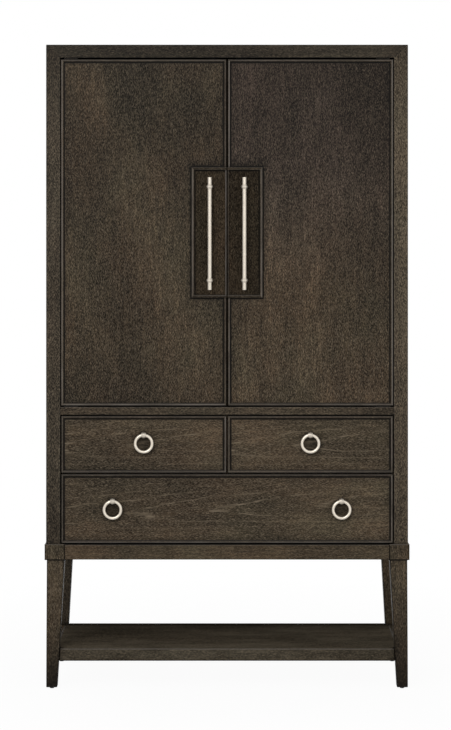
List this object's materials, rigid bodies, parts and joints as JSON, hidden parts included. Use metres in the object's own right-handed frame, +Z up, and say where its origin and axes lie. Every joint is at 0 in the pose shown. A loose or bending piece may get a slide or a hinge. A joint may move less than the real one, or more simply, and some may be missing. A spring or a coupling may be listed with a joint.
{
  "type": "bar armoire",
  "caption": "Tall dark wood bar cabinet with hinged doors and bar pulls over ring-pull drawers, standing on tapered legs with an open lower shelf.",
  "frame": {"origin": "on the floor, under the middle of the whole piece with its pulls", "axes": "+Z up, -Y towards the front with the doors, +X to the right seen from the front"},
  "size_m": [1.122, 0.5358, 1.981],
  "materials": {
    "dark_wood": "satin smoked stain",
    "inner_wood": "clear satin",
    "champagne_metal": "satin champagne",
    "pivot_steel": "brushed",
    "glide_plastic": "matt"
  },
  "bodies": {
    "cabinet": {"front_left_leg": "dark_wood", "front_right_leg": "dark_wood", "rear_left_leg": "dark_wood", "rear_right_leg": "dark_wood", "front_apron": "dark_wood", "rear_apron": "dark_wood", "left_apron": "dark_wood", "right_apron": "dark_wood", "lower_shelf": "dark_wood", "shelf_stretchers": "dark_wood", "left_side": "dark_wood", "right_side": "dark_wood", "case_top": "dark_wood", "left_stile": "dark_wood", "right_stile": "dark_wood", "top_rail": "dark_wood", "mid_rail": "dark_wood", "bar_deck": "dark_wood", "back_panel": "dark_wood", "upper_shelf": "dark_wood", "middle_shelf": "dark_wood", "stemware_rails": "dark_wood", "bottle_cradles": "dark_wood", "case_bottom": "inner_wood", "drawer_partition": "inner_wood", "dust_panel": "inner_wood", "drawer_runners": "inner_wood", "pivot_plates": "pivot_steel", "shelf_pins": "pivot_steel", "floor_glides": "glide_plastic", "door_catches": "glide_plastic"},
    "left_door": {"left_door_panel": "dark_wood", "left_door_beading": "dark_wood", "left_handle_plate": "dark_wood", "left_bar_pull": "champagne_metal", "left_pivot_sockets": "pivot_steel"},
    "left_drawer": {"left_drawer_front": "dark_wood", "left_drawer_beading": "dark_wood", "left_drawer_box": "inner_wood", "left_drawer_bottom": "inner_wood", "left_ring_stud": "champagne_metal"},
    "left_ring": {"left_ring": "champagne_metal"},
    "wide_left_ring": {"wide_left_ring": "champagne_metal"},
    "right_door": {"right_door_panel": "dark_wood", "right_door_beading": "dark_wood", "right_handle_plate": "dark_wood", "right_bar_pull": "champagne_metal", "right_pivot_sockets": "pivot_steel"},
    "right_drawer": {"right_drawer_front": "dark_wood", "right_drawer_beading": "dark_wood", "right_drawer_box": "inner_wood", "right_drawer_bottom": "inner_wood", "right_ring_stud": "champagne_metal"},
    "right_ring": {"right_ring": "champagne_metal"},
    "wide_right_ring": {"wide_right_ring": "champagne_metal"},
    "wide_drawer": {"wide_drawer_front": "dark_wood", "wide_drawer_beading": "dark_wood", "wide_drawer_box": "inner_wood", "wide_drawer_bottom": "inner_wood", "wide_ring_studs": "champagne_metal"}
  },
  "joints": [
    {"name": "left_door_swing", "type": "hinge", "parent": "cabinet", "child": "left_door", "pos_m": [-0.497, -0.22363, 1.40325], "axis": [0, 0, -1], "range_deg": [0, 105]},
    {"name": "right_door_swing", "type": "hinge", "parent": "cabinet", "child": "right_door", "pos_m": [0.497, -0.22363, 1.40325], "axis": [0, 0, 1], "range_deg": [0, 105]},
    {"name": "left_drawer_slide", "type": "slide", "parent": "cabinet", "child": "left_drawer", "axis": [0, -1, 0], "range_m": [0, 0.35]},
    {"name": "right_drawer_slide", "type": "slide", "parent": "cabinet", "child": "right_drawer", "axis": [0, -1, 0], "range_m": [0, 0.35]},
    {"name": "wide_drawer_slide", "type": "slide", "parent": "cabinet", "child": "wide_drawer", "axis": [0, -1, 0], "range_m": [0, 0.35]},
    {"name": "left_ring_swing", "type": "hinge", "parent": "left_drawer", "child": "left_ring", "pos_m": [-0.25625, -0.24363, 0.7809], "axis": [-1, 0, 0], "range_deg": [-9, 170]},
    {"name": "right_ring_swing", "type": "hinge", "parent": "right_drawer", "child": "right_ring", "pos_m": [0.25625, -0.24363, 0.7809], "axis": [-1, 0, 0], "range_deg": [-9, 170]},
    {"name": "wide_left_ring_swing", "type": "hinge", "parent": "wide_drawer", "child": "wide_left_ring", "pos_m": [-0.352, -0.24363, 0.5774], "axis": [-1, 0, 0], "range_deg": [-9, 170]},
    {"name": "wide_right_ring_swing", "type": "hinge", "parent": "wide_drawer", "child": "wide_right_ring", "pos_m": [0.352, -0.24363, 0.5774], "axis": [-1, 0, 0], "range_deg": [-9, 170]}
  ]
}
